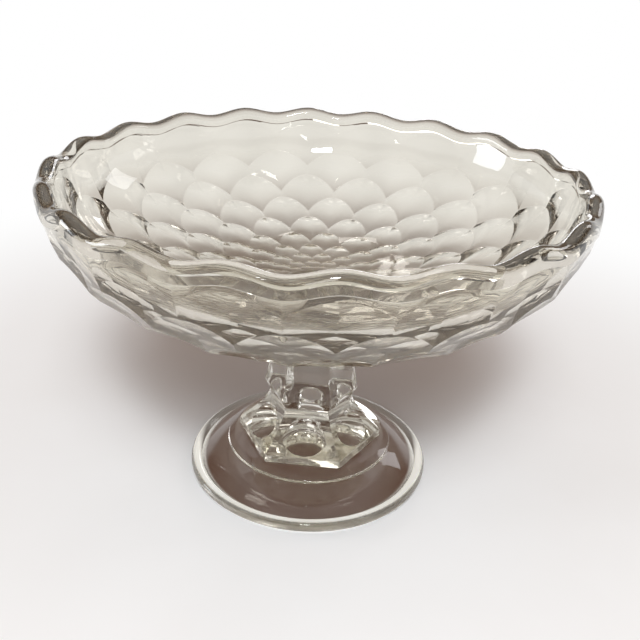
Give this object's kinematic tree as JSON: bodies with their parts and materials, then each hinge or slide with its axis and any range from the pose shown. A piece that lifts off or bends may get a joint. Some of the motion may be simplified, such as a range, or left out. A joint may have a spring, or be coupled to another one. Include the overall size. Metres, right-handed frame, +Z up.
{
  "type": "footed fruit bowl",
  "caption": "Wide scalloped bowl of clear pressed glass with a honeycomb of hollow cells, raised on a six-sided stem and a round domed foot, for holding and serving fruit.",
  "frame": {"origin": "on the floor, at the middle of the foot's rest ring", "axes": "+Z up along the axis of the bowl and stem; a flat side of the stem and a dip of the scalloped rim face -Y"},
  "size_m": [0.254, 0.254, 0.1648],
  "materials": {
    "bowl_glass": "fire-polished clear pressed soda-lime glass",
    "wafer_glass": "clear soda-lime glass, melted in place",
    "stem_glass": "fire-polished clear pressed soda-lime glass",
    "foot_glass": "fire-polished clear pressed soda-lime glass"
  },
  "bodies": {
    "root": {"bowl": "bowl_glass", "wafer": "wafer_glass", "stem": "stem_glass", "foot": "foot_glass"}
  },
  "joints": []
}
